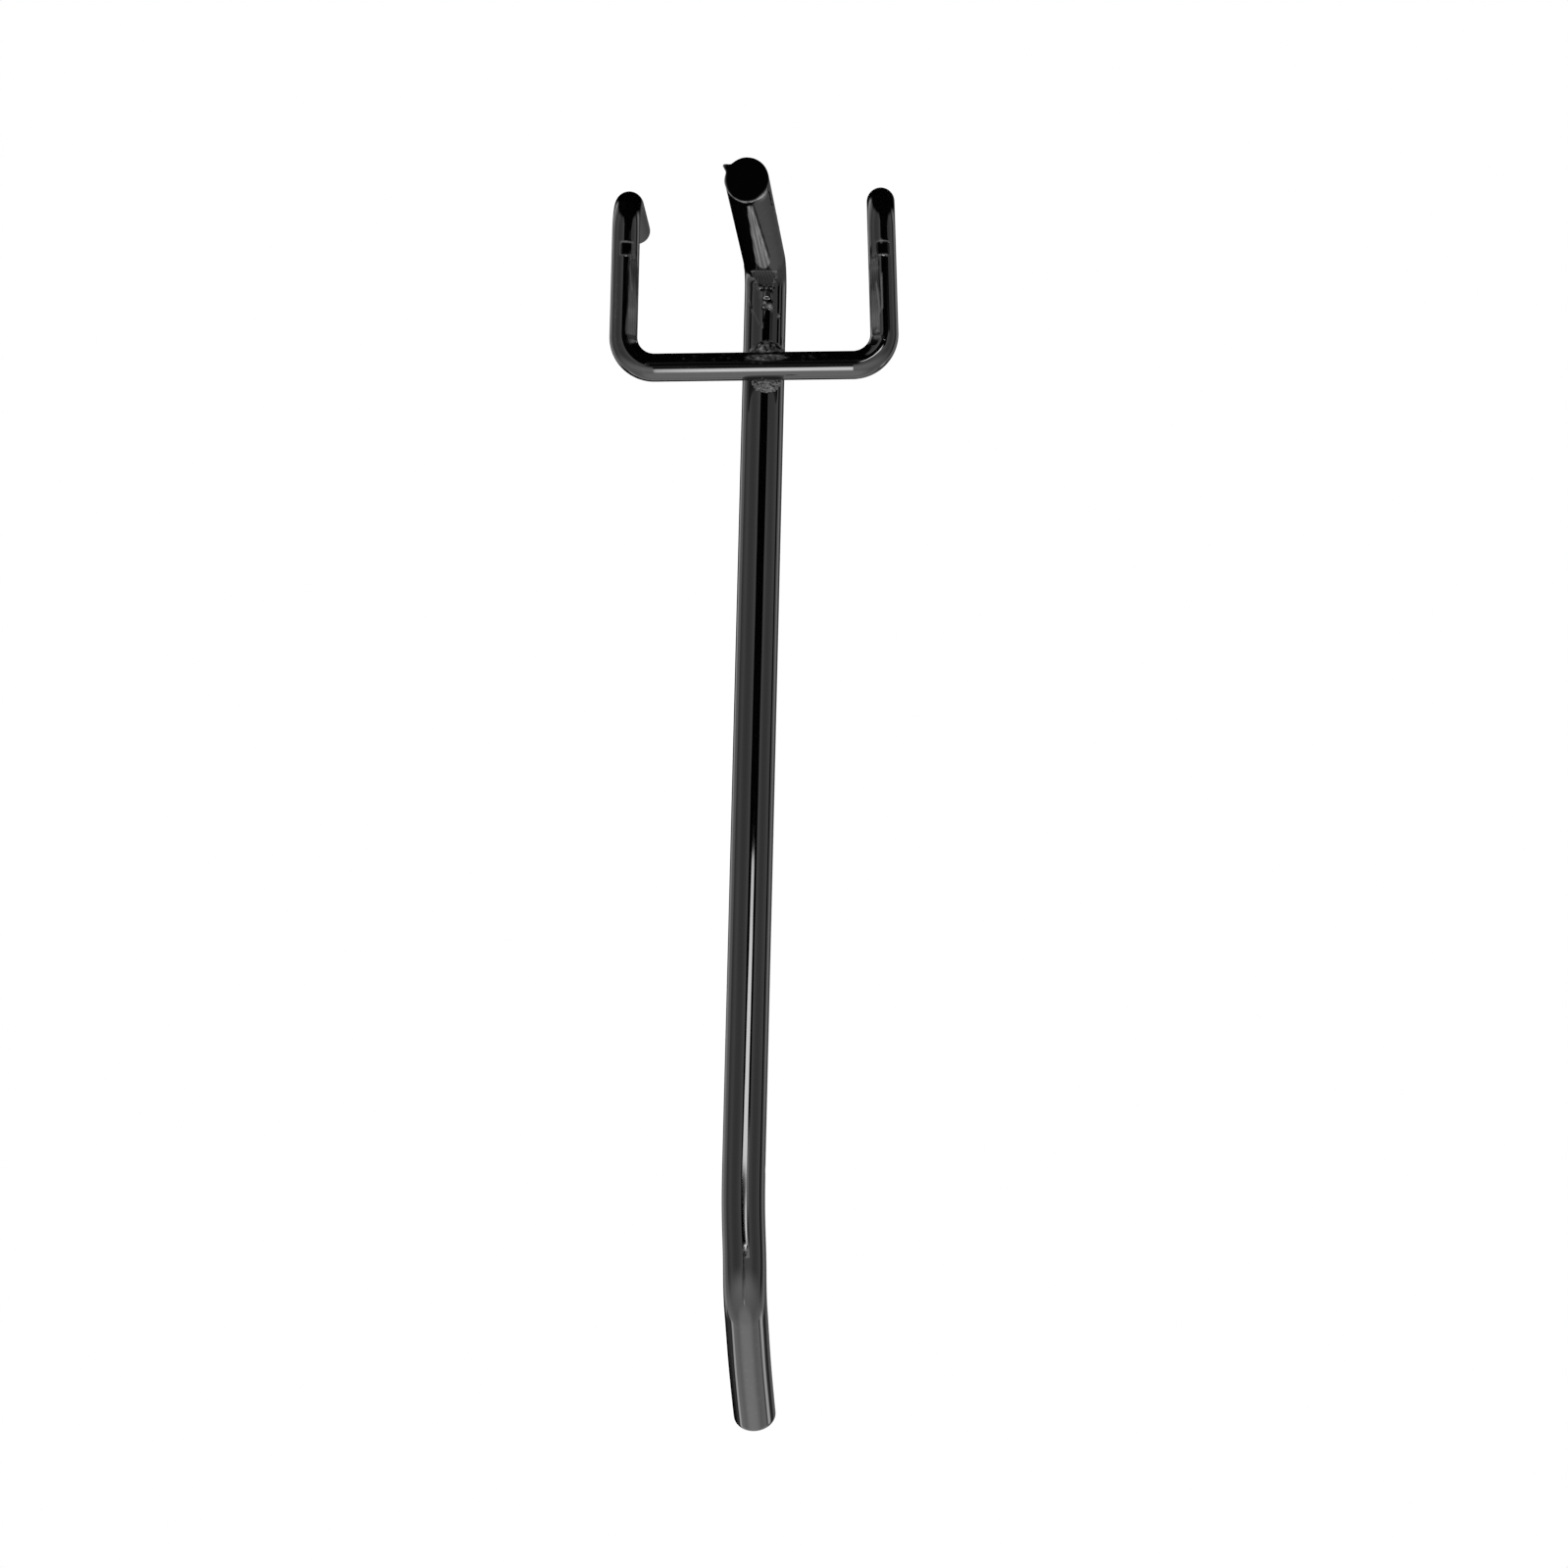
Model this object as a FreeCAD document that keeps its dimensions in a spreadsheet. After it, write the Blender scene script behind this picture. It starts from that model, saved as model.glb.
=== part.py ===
"""Double-prong pegboard hook of round wire, in millimetres and degrees.

A heavy rod carries the goods. Its back end is bent down into a heel that lies flat on the board,
and its front end is bent up so that nothing slides off. A thinner back wire, bent into a U, lies
across the underside of the rod and is welded to it. Its two ends go through the board and turn up
behind it as prongs.

The frame is the hook as it hangs: +Z is up, -Y points out of the board, and the board's face is
the plane Y = 0. The origin is on that plane, above the rod's centre line, at the height of the
prongs where they enter the board.
"""
import FreeCAD, Part
import math
import os
import Sketcher

V = FreeCAD.Vector

# Driving dimensions

SIZES = [
    ("rod_diameter", 5.1, "carrying rod over its coat"),
    ("wire_diameter", 3.4, "back wire over its coat"),
    ("end_round", 0.3, "edge of each cut end, softened by the coat"),
    ("rod_reach", 109.7, "crossbar to the corner of the front bend"),
    ("tip_length", 23.1, "front tip from that corner to its end"),
    ("tip_rise", 49.6, "angle of the tip above the rod"),
    ("tip_bend_radius", 8.0, "front bend at the rod's centre line"),
    ("tip_twist", 1.4, "tip out of the heel's plane, about the rod"),
    ("heel_setback", 13.4, "crossbar to the corner of the heel bend"),
    ("heel_length", 26.7, "heel from that corner to the middle of its cut end"),
    ("heel_cut_slant", 12.0, "heel's cut end out of square, longest at the board"),
    ("heel_lean", 5.1, "heel past square, so the rod rises as much"),
    ("heel_bend_radius", 3.2, "heel bend at the rod's centre line"),
    ("prong_spacing", 31.6, "centre to centre at the crossbar"),
    ("prong_reach", 21.7, "crossbar to the corner of each elbow"),
    ("prong_rise", 14.6, "prong from that corner to its end"),
    ("prong_lean", 1.2, "each leg turned in from square"),
    ("corner_radius", 3.8, "crossbar corners at the centre line"),
    ("elbow_radius", 5.0, "prong elbows at the centre line"),
    ("grip_mark_setback", 7.5, "middle of each tool mark to the corner of its elbow"),
    ("grip_mark_width", 1.3, "tool mark across the underside of the leg"),
    ("grip_mark_length", 1.5, "tool mark along the leg"),
    ("grip_mark_depth", 0.2, "tool mark into the wire"),
    ("weld_set_down", 0.35, "how far the rod is pressed into the crossbar"),
    ("weld_offset", 1.0, "crossbar's middle to the side of the rod"),
    ("weld_skew", 1.5, "crossbar out of square with the rod"),
    ("weld_roll", 2.4, "crossbar rolled about the rod"),
    ("bead_width", 5.2, "back bead along the crossbar"),
    ("bead_run_out", 1.3, "back bead behind the crossbar, along the rod"),
    ("bead_crown", 0.25, "back bead below the crossbar"),
    ("front_bead_width", 3.2, "front bead along the crossbar"),
    ("front_bead_run_out", 1.25, "front bead before the crossbar"),
]

doc = FreeCAD.newDocument("pegboard_hook")
sheet = doc.addObject("Spreadsheet::Sheet", "Sizes")
for row, (alias, value, meaning) in enumerate(SIZES, start=1):
    sheet.set(f"A{row}", meaning)
    sheet.set(f"B{row}", str(value))
    sheet.setAlias(f"B{row}", alias)
doc.recompute()

# Distances that follow from the driving dimensions, as the sheet's own expressions

CROSSBAR_DROP = "((Sizes.rod_diameter + Sizes.wire_diameter) / 2 - Sizes.weld_set_down)"
HEEL_DEPTH = "(Sizes.heel_setback * cos(Sizes.heel_lean) + Sizes.rod_diameter / 2)"
PRONG_ENTRY = f"({HEEL_DEPTH} + {CROSSBAR_DROP} * sin(Sizes.heel_lean)) / cos(Sizes.heel_lean)"
ROLLED = "hook_rod.Placement * placement(vector(0; 0; 0); rotationy(Sizes.weld_roll))"
LEG_SPLIT = "(Sizes.prong_reach / 2)"
LEG_SPLIT_X = f"(Sizes.prong_spacing / 2 - {LEG_SPLIT} * sin(Sizes.prong_lean))"
LEG_SPLIT_Y = f"({LEG_SPLIT} * cos(Sizes.prong_lean))"


def frame(rotation, x="0", y="0", z="0"):
    """A placement as an expression: a turn, then a shift."""
    return f"placement(vector({x}; {y}; {z}); {rotation})"


def size(expression):
    """Value of a sheet expression, for the first drawing of a sketch before its constraints act."""
    return float(sheet.evalExpression(expression))


# Sketches and sweeps

def new_sketch(body, name, role, offset=None):
    """A sketch on one of the body's own origin planes, with offset as an expression."""
    sketch = body.newObject("Sketcher::SketchObject", name)
    plane = next(item for item in body.Origin.OriginFeatures if item.Role == role)
    sketch.AttachmentSupport = (plane, [""])
    sketch.MapMode = "FlatFace"
    if offset:
        sketch.setExpression("AttachmentOffset", offset)
    return sketch


def bind(sketch, kind, *elements, name, value):
    """A dimension of the sketch, named and driven by a sheet expression."""
    number = size(value)
    if kind == "Angle":
        number = math.radians(number)
    index = sketch.addConstraint(Sketcher.Constraint(kind, *elements, number))
    sketch.renameConstraint(index, name)
    unit = " * 1 deg" if kind == "Angle" else ""
    sketch.setExpression(f"Constraints.{name}", f"({value}){unit}")


def round_section(body, name, role, diameter, offset=None, centre=None):
    """A circle round the sketch's origin, or at centre, given as two expressions."""
    sketch = new_sketch(body, name, role, offset)
    middle = V(0, 0, 0)
    if centre:
        middle = V(size(centre[0]), size(centre[1]), 0)
    sketch.addGeometry(Part.Circle(middle, V(0, 0, 1), size(diameter) / 2), False)
    bind(sketch, "Diameter", 0, name="diameter", value=diameter)
    if centre:
        bind(sketch, "DistanceX", -1, 1, 0, 3, name="across", value=centre[0])
        bind(sketch, "DistanceY", -1, 1, 0, 3, name="above", value=centre[1])
    else:
        sketch.addConstraint(Sketcher.Constraint("Coincident", 0, 3, -1, 1))
    return sketch


def bent_path(body, name, role, way, side, run_in, turn, radius, run_out, offset=None):
    """Centre line of a wire with one bend: a straight run from the origin, an arc and a run.

    way is +1 or -1 along the sketch's first axis, side is +1 or -1 for a bend to its positive or
    negative second axis, and run_in and run_out are both measured to the corner of the bend.
    """
    sketch = new_sketch(body, name, role, offset)
    reach, angle, bend, rest = [size(item) for item in (run_in, turn, radius, run_out)]
    angle = math.radians(angle)
    tangent = bend * math.tan(angle / 2)
    corner = V(way * reach, 0, 0)
    leaving = V(way * math.cos(angle), side * math.sin(angle), 0)
    bend_start = V(way * (reach - tangent), 0, 0)
    bend_end = corner + leaving * tangent
    middle = bend_start + V(0, side * bend, 0)
    first, last = (bend_start, bend_end) if way * side > 0 else (bend_end, bend_start)
    angles = [math.atan2(point.y - middle.y, point.x - middle.x) for point in (first, last)]
    sketch.addGeometry(Part.LineSegment(V(0, 0, 0), bend_start), False)
    sketch.addGeometry(Part.ArcOfCircle(Part.Circle(middle, V(0, 0, 1), bend), *angles), False)
    sketch.addGeometry(Part.LineSegment(bend_end, corner + leaving * rest), False)
    sketch.addGeometry(Part.Point(corner), True)
    arc_in, arc_out = (1, 2) if way * side > 0 else (2, 1)
    between = (2, 1, 0, 2) if way * side > 0 else (0, 2, 2, 1)
    for rule in [
        Sketcher.Constraint("Coincident", 0, 1, -1, 1),
        Sketcher.Constraint("Horizontal", 0),
        Sketcher.Constraint("Tangent", 0, 2, 1, arc_in),
        Sketcher.Constraint("Tangent", 1, arc_out, 2, 1),
        Sketcher.Constraint("PointOnObject", 3, 1, 0),
        Sketcher.Constraint("PointOnObject", 3, 1, 2),
    ]:
        sketch.addConstraint(rule)
    bind(sketch, "Radius", 1, name="radius", value=radius)
    bind(sketch, "Distance", 0, 1, 3, 1, name="run_in", value=run_in)
    bind(sketch, "Distance", 3, 1, 2, 2, name="run_out", value=run_out)
    bind(sketch, "Angle", *between, name="turn", value=f"180 - ({turn})")
    return sketch


def rectangle(sketch, wide, tall, low):
    """A rectangle with the sketch's second axis through its middle and its lower side at low."""
    half, bottom = size(wide) / 2, size(low)
    top = bottom + size(tall)
    corners = [V(-half, bottom, 0), V(half, bottom, 0), V(half, top, 0), V(-half, top, 0)]
    for start, end in zip(corners, corners[1:] + corners[:1]):
        sketch.addGeometry(Part.LineSegment(start, end), False)
    for side, following in ((0, 1), (1, 2), (2, 3), (3, 0)):
        sketch.addConstraint(Sketcher.Constraint("Coincident", side, 2, following, 1))
    for side, rule in ((0, "Horizontal"), (1, "Vertical"), (2, "Horizontal"), (3, "Vertical")):
        sketch.addConstraint(Sketcher.Constraint(rule, side))
    bind(sketch, "DistanceX", 0, 1, 0, 2, name="wide", value=wide)
    bind(sketch, "DistanceY", 1, 1, 1, 2, name="tall", value=tall)
    bind(sketch, "DistanceX", 0, 1, -1, 1, name="to_the_side", value=f"({wide}) / 2")
    bind(sketch, "DistanceY", -1, 1, 0, 1, name="low", value=low)


def sweep(body, name, section, path):
    """A round wire along a bent path."""
    pipe = body.newObject("PartDesign::AdditivePipe", name)
    pipe.Profile = (section, [""])
    pipe.Spine = (path, ["Edge1", "Edge2", "Edge3"])
    return pipe


def pocket(body, name, sketch, length, sides="One side"):
    """A cut of the sketch's outline through the body."""
    cut = body.newObject("PartDesign::Pocket", name)
    cut.Profile = (sketch, [""])
    cut.SideType = sides
    cut.setExpression("Length", length)
    return cut


def soften_ends(body, name, base):
    """Rounds the rim of both ends of the wire: its only flat faces with one round edge."""
    doc.recompute()
    ends = [
        face for face in base.Shape.Faces
        if isinstance(face.Surface, Part.Plane) and len(face.Edges) == 1
    ]
    rims = [
        f"Edge{number}" for number, edge in enumerate(base.Shape.Edges, start=1)
        if any(edge.isSame(rim) for face in ends for rim in face.Edges)
    ]
    if len(rims) != 2:
        raise RuntimeError(f"{name} found {len(rims)} rims, not 2")
    fillet = body.newObject("PartDesign::Fillet", name)
    fillet.Base = (base, rims)
    fillet.setExpression("Radius", "Sizes.end_round")
    return fillet


# Carrying rod: its own frame has Y along the rod towards the board and the crossbar at the origin

def heel_cut(body):
    """Slanted cut across the end of the heel, which is swept one diameter longer than it stays."""
    sketch = new_sketch(
        body, "heel_cut_outline", "YZ_Plane",
        frame(
            "rotationz(Sizes.heel_lean - Sizes.heel_cut_slant)",
            x="Sizes.heel_setback + Sizes.heel_length * sin(Sizes.heel_lean)",
            y="-Sizes.heel_length * cos(Sizes.heel_lean)"))
    rectangle(sketch, "4 * Sizes.rod_diameter", "2 * Sizes.rod_diameter", "-2 * Sizes.rod_diameter")
    return pocket(body, "heel_cut", sketch, "2 * Sizes.rod_diameter", "Symmetric")


def make_hook_rod():
    body = doc.addObject("PartDesign::Body", "hook_rod")
    height = f"{PRONG_ENTRY} * sin(Sizes.heel_lean) + {CROSSBAR_DROP} * cos(Sizes.heel_lean)"
    body.setExpression(
        "Placement", frame("rotationx(-Sizes.heel_lean)", y=f"-{HEEL_DEPTH}", z=height))
    section = round_section(body, "rod_section", "XZ_Plane", "Sizes.rod_diameter")
    heel_path = bent_path(
        body, "heel_path", "YZ_Plane", +1, -1, "Sizes.heel_setback", "90 - Sizes.heel_lean",
        "Sizes.heel_bend_radius", "Sizes.heel_length + Sizes.rod_diameter")
    tip_path = bent_path(
        body, "tip_path", "YZ_Plane", -1, +1, "Sizes.rod_reach", "Sizes.tip_rise",
        "Sizes.tip_bend_radius", "Sizes.tip_length", frame("rotationx(-Sizes.tip_twist)"))
    sweep(body, "heel_half", section, heel_path)
    sweep(body, "front_half", section, tip_path)
    body.Tip = soften_ends(body, "rod_ends", heel_cut(body))
    return body


# Back wire: its own frame has X along the crossbar and Y towards the board

def grip_mark(body):
    """Shallow rectangular mark that the bending tool's grip leaves on the underside of a leg."""
    floor = "-(Sizes.wire_diameter / 2 - Sizes.grip_mark_depth)"
    sketch = new_sketch(
        body, "grip_mark_outline", "XY_Plane",
        frame("rotationz(Sizes.prong_lean)", x="Sizes.prong_spacing / 2", z=floor))
    low = "Sizes.prong_reach - Sizes.grip_mark_setback - Sizes.grip_mark_length / 2"
    rectangle(sketch, "Sizes.grip_mark_width", "Sizes.grip_mark_length", low)
    return pocket(body, "grip_mark", sketch, "2 * Sizes.grip_mark_depth")


def make_back_wire():
    body = doc.addObject("PartDesign::Body", "back_wire")
    seat = frame("rotationz(-Sizes.weld_skew)", x="Sizes.weld_offset", z=f"-{CROSSBAR_DROP}")
    body.setExpression("Placement", f"{ROLLED} * {seat}")
    section = round_section(body, "crossbar_section", "YZ_Plane", "Sizes.wire_diameter")
    leg_path = bent_path(
        body, "leg_path", "XY_Plane", +1, +1, "Sizes.prong_spacing / 2", "90 + Sizes.prong_lean",
        "Sizes.corner_radius", LEG_SPLIT)
    prong_section = round_section(
        body, "prong_section", "XZ_Plane", "Sizes.wire_diameter",
        offset=frame("rotationy(Sizes.prong_lean)", x=LEG_SPLIT_X, z=f"-{LEG_SPLIT_Y}"))
    prong_path = bent_path(
        body, "prong_path", "YZ_Plane", +1, +1, f"Sizes.prong_reach - {LEG_SPLIT}", "90",
        "Sizes.elbow_radius", "Sizes.prong_rise",
        offset=frame("rotationy(Sizes.prong_lean)", x=LEG_SPLIT_Y, z=LEG_SPLIT_X))
    leg = sweep(body, "crossbar_and_leg", section, leg_path)
    prong = sweep(body, "prong", prong_section, prong_path)
    mark = grip_mark(body)
    mirrored = body.newObject("PartDesign::Mirrored", "other_half")
    mirrored.Originals = [leg, prong, mark]
    middle = next(item for item in body.Origin.OriginFeatures if item.Role == "YZ_Plane")
    mirrored.MirrorPlane = (middle, [""])
    body.Tip = mirrored
    ends = soften_ends(body, "prong_ends", mirrored)
    body.Tip = ends
    doc.recompute()
    before = body.Shape.Volume
    saddle = round_section(
        body, "saddle_section", "XZ_Plane", "Sizes.rod_diameter",
        offset=frame("rotationy(Sizes.weld_skew)"), centre=("-Sizes.weld_offset", CROSSBAR_DROP))
    body.Tip = pocket(body, "weld_saddle", saddle, "2 * Sizes.wire_diameter", "Symmetric")
    doc.recompute()
    if body.Shape.Volume >= before:
        raise RuntimeError("the weld saddle cut nothing")
    return body


# Weld metal squeezed out behind and before the crossbar, lying against both wires

def make_weld_bead(rod, wire):
    def lump(name, width, front, back, low, high):
        """An ellipsoid between limits measured along the rod and below its centre line."""
        shape = doc.addObject("Part::Ellipsoid", name)
        shape.Angle1 = -90
        shape.setExpression("Radius1", f"({high} - {low}) / 2")
        shape.setExpression("Radius2", f"{width} / 2")
        shape.setExpression("Radius3", f"({back} - {front}) / 2")
        middle = frame("rotationz(0)", y=f"({front} + {back}) / 2", z=f"({high} + {low}) / 2")
        shape.setExpression("Placement", f"{ROLLED} * {middle}")
        return shape

    wire_radius = "Sizes.wire_diameter / 2"
    rod_radius = "Sizes.rod_diameter / 2"
    back = lump(
        "back_lump", "Sizes.bead_width", f"-{wire_radius} / 2", f"({wire_radius} + Sizes.bead_run_out)",
        f"-({CROSSBAR_DROP} + {wire_radius} + Sizes.bead_crown)", f"-{rod_radius} / 2")
    front = lump(
        "front_lump", "Sizes.front_bead_width", f"-({wire_radius} + Sizes.front_bead_run_out)",
        f"{wire_radius} / 2", f"-{CROSSBAR_DROP}", f"-{rod_radius} / 2")
    lumps = doc.addObject("Part::MultiFuse", "lumps")
    lumps.Shapes = [back, front]
    off_rod = doc.addObject("Part::Cut", "lumps_off_rod")
    off_rod.Base = lumps
    off_rod.Tool = rod
    bead = doc.addObject("Part::Cut", "weld_bead")
    bead.Base = off_rod
    bead.Tool = wire
    return bead


hook_rod = make_hook_rod()
back_wire = make_back_wire()
weld_bead = make_weld_bead(hook_rod, back_wire)
doc.recompute()

# Checks, then one STEP file for each piece

for item in doc.Objects:
    if "Invalid" in item.State or "Error" in item.State:
        raise RuntimeError(f"{item.Name} failed: {item.State}")
os.makedirs("parts", exist_ok=True)
for piece in (hook_rod, back_wire, weld_bead):
    piece.Label = piece.Name
    if piece.Shape.isNull() or not piece.Shape.isValid():
        raise RuntimeError(f"{piece.Label} has no valid shape")
    box = piece.Shape.optimalBoundingBox()
    print(
        f"{piece.Label}: {len(piece.Shape.Solids)} solid, {piece.Shape.Volume:.2f} mm3,"
        f" X {box.XMin:.2f} to {box.XMax:.2f}, Y {box.YMin:.2f} to {box.YMax:.2f},"
        f" Z {box.ZMin:.2f} to {box.ZMax:.2f}")
    piece.Shape.exportStep(f"parts/{piece.Label}.step")
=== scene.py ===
# %% [markdown]
# # A welded wire pegboard hook, coated in gloss black
#
# The hook is two steel wires. The thick one carries the goods: its back end is bent down into a heel
# that lies on the board, its front end is bent up. The thin one is bent into a U, crosses under the
# thick one, is welded to it there, and turns up behind the board as two prongs.
#
# The solid model gives every piece its place. This lesson dresses it: each wire becomes a surface
# carried along a bent line, with the marks that bending, welding and cutting leave on it, and every
# piece gets the same glossy black coat.

# %% Load the solid model as a fixed frame
import bpy
import numpy as np
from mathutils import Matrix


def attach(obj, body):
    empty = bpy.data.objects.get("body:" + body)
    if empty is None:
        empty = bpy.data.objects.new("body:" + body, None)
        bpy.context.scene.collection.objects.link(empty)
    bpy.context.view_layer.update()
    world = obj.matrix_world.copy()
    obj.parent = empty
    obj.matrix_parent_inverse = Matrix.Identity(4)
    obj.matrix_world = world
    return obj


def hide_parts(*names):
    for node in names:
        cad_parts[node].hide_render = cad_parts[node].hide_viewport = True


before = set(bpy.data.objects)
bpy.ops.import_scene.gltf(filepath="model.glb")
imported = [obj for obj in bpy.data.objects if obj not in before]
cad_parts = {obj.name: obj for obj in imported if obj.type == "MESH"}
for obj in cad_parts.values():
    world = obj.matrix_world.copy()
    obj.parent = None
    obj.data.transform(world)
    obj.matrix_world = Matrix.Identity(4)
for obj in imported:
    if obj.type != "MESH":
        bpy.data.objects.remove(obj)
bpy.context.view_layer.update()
MM = 0.001

# %% [markdown]
# ## Where the two wires lie
#
# The hook hangs as it does on a board: +Z is up and -Y points out of the board. With its heel flat
# on the board the rod rises by `HEEL_LEAN`. The back wire sits a little askew under it, as loose
# parts do in a welding jig. The wires could be drawn flat and moved afterwards. Here three turns about
# the axes and two shifts come first, so that every point is made where it belongs.

# %% Turns about the axes
def turn_about(axis, degrees):
    """Turning matrix for a unit axis k and an angle a.

    cos a times the identity, plus sin a times k's cross product, plus (1 - cos a) times k by k.
    """
    k = np.asarray(axis, float) / np.linalg.norm(axis)
    angle = np.radians(degrees)
    cross = np.array([[0, -k[2], k[1]], [k[2], 0, -k[0]], [-k[1], k[0], 0]])
    return np.cos(angle) * np.eye(3) + np.sin(angle) * cross + (1 - np.cos(angle)) * np.outer(k, k)


X, Y, Z = np.eye(3)
print("a quarter turn about z takes x to", np.round(turn_about(Z, 90) @ X, 3))

# %% Sizes of the wires, in millimetres and degrees
SKIN_INSET = 0.01
ROD_RADIUS, WIRE_RADIUS, END_ROUND = 2.55, 1.7, 0.3
ROD_REACH, TIP_LENGTH, TIP_RISE, TIP_TWIST, TIP_BEND = 109.7, 23.1, 49.6, 1.4, 8.0
HEEL_SETBACK, HEEL_LENGTH, HEEL_LEAN, HEEL_BEND = 13.4, 26.7, 5.1, 3.2
PRONG_SPACING, PRONG_REACH, PRONG_RISE, PRONG_LEAN = 31.6, 21.7, 14.6, 1.2
CORNER_BEND, ELBOW_BEND = 3.8, 5.0
WELD_SET_DOWN, WELD_OFFSET, WELD_SKEW, WELD_ROLL = 0.35, 1.0, 1.5, 2.4
print("rod", 2 * ROD_RADIUS, "mm thick, back wire", 2 * WIRE_RADIUS, "mm thick")

# %% The rod's own frame and the back wire's own frame, both seen from the board
lean = np.radians(HEEL_LEAN)
crossbar_drop = ROD_RADIUS + WIRE_RADIUS - WELD_SET_DOWN
heel_depth = HEEL_SETBACK * np.cos(lean) + ROD_RADIUS
prong_entry = (heel_depth + crossbar_drop * np.sin(lean)) / np.cos(lean)
rod_turn = turn_about(X, -HEEL_LEAN)
rod_place = np.array([0, -heel_depth, prong_entry * np.sin(lean) + crossbar_drop * np.cos(lean)])
rolled = rod_turn @ turn_about(Y, WELD_ROLL)
wire_turn = rolled @ turn_about(Z, -WELD_SKEW)
wire_place = rod_place + rolled @ np.array([WELD_OFFSET, 0, -crossbar_drop])
print("rod at", np.round(rod_place, 2), "back wire at", np.round(wire_place, 2))

# %% [markdown]
# ## A wire is a circle carried along a bent line
#
# A wire bender feeds a straight run, then turns the wire round a pin, then feeds again. A curve with
# a round bevel could be bent the same way, but its skin couldn't carry marks. So the centre line is
# made here, run by run. Each sample keeps three directions: `under`, which starts on the side that
# faces the viewer below, `side`, and `along`. A bend turns all three together about the bend's own
# axis, so the circle never twists.

# %% A line, and a straight run added to it
LEAST_RUN_STEPS, LEAST_BEND_STEPS = 2, 4


def start_line(point, under, along):
    """A line with one sample at point, whose circle starts on the side called under."""
    frame_there = np.stack([under, np.cross(along, under), along], axis=1)
    return {"points": np.array([point]), "frames": frame_there[None]}


def longer(line, points, frames):
    """The line with more samples at its end."""
    return {"points": np.vstack([line["points"], points]), "frames": np.vstack([line["frames"], frames])}


def feed(line, length, spacing):
    """Straight run: the last point moved along its own direction, its directions unchanged."""
    count = max(LEAST_RUN_STEPS, int(np.ceil(length / spacing)))
    steps = np.linspace(0, length, count + 1)[1:, None]
    points = line["points"][-1] + steps * line["frames"][-1][:, 2]
    return longer(line, points, np.repeat(line["frames"][-1:], len(steps), axis=0))


# %% A bend added to a line
def bend_towards(line, way, radius, spacing):
    """Bend: the last point and its directions turned about the axis square to both runs.

    The axis passes one radius to the side of the point, and the turn ends where the line points way.
    """
    last, directions = line["points"][-1], line["frames"][-1]
    along = directions[:, 2]
    axis = np.cross(along, way)
    axis = axis / np.linalg.norm(axis)
    turn = np.degrees(np.arccos(np.clip(along @ way, -1, 1)))
    centre = last + radius * np.cross(axis, along)
    count = max(LEAST_BEND_STEPS, int(np.ceil(np.radians(turn) * radius / spacing)))
    turns = np.stack([turn_about(axis, step) for step in np.linspace(0, turn, count + 1)[1:]])
    return longer(line, centre + turns @ (last - centre), turns @ directions)


def cut_back(radius, way_in, way_out):
    """How far before its corner a bend starts: the radius times the tangent of half the turn."""
    return radius * np.tan(np.arccos(np.clip(way_in @ way_out, -1, 1)) / 2)


def distances(line):
    """Distance of each sample from the start of the line, in millimetres."""
    gaps = np.linalg.norm(np.diff(line["points"], axis=0), axis=1)
    return np.concatenate([[0], np.cumsum(gaps)])


# %% The carrying rod's line, from the end of its heel to the end of its tip
RUN_STEP, BEND_STEP = 0.30, 0.14
rise, twist = np.radians(TIP_RISE), np.radians(TIP_TWIST)
tip_aim = np.array([-np.sin(rise) * np.sin(twist), -np.cos(rise), np.sin(rise) * np.cos(twist)])
rod_way, tip_way = rod_turn @ -Y, rod_turn @ tip_aim
heel_corner = rod_place + rod_turn @ (HEEL_SETBACK * Y)
heel_cut = cut_back(HEEL_BEND, Z, rod_way)
tip_cut = cut_back(TIP_BEND, rod_way, tip_way)

rod_line = start_line(heel_corner - HEEL_LENGTH * Z, -Y, Z)
rod_line = feed(rod_line, HEEL_LENGTH - heel_cut, RUN_STEP)
rod_line = bend_towards(rod_line, rod_way, HEEL_BEND, BEND_STEP)
rod_line = feed(rod_line, HEEL_SETBACK + ROD_REACH - heel_cut - tip_cut, RUN_STEP)
rod_line = bend_towards(rod_line, tip_way, TIP_BEND, BEND_STEP)
rod_line = feed(rod_line, TIP_LENGTH - tip_cut, RUN_STEP)
print("rod line", len(rod_line["points"]), "samples,", round(distances(rod_line)[-1], 1), "mm long")

# %% A slight sway that the front bend left in the rod
SWAY, SWAY_AT, SWAY_BEFORE, SWAY_AFTER = 0.4, 147.0, 6.0, 12.0
rod_s = distances(rod_line)
sway_reach = np.where(rod_s < SWAY_AT, SWAY_BEFORE, SWAY_AFTER)
rod_line["points"][:, 0] -= SWAY * np.exp(-((rod_s - SWAY_AT) / sway_reach) ** 2)
print("the rod sways by", SWAY, "mm at", SWAY_AT, "mm from the end of its heel")

# %% The back wire's line, from one prong's end round to the other's
prong_lean = np.radians(PRONG_LEAN)
prong_up = wire_turn @ Z
bar_way = wire_turn @ X
leg_in = wire_turn @ np.array([-np.sin(prong_lean), -np.cos(prong_lean), 0])
leg_out = wire_turn @ np.array([-np.sin(prong_lean), np.cos(prong_lean), 0])
elbow_cut = cut_back(ELBOW_BEND, -prong_up, leg_in)
corner_cut = cut_back(CORNER_BEND, leg_in, bar_way)
first_elbow = wire_place + wire_turn @ np.array([-PRONG_SPACING / 2, 0, 0]) - PRONG_REACH * leg_in

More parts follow.
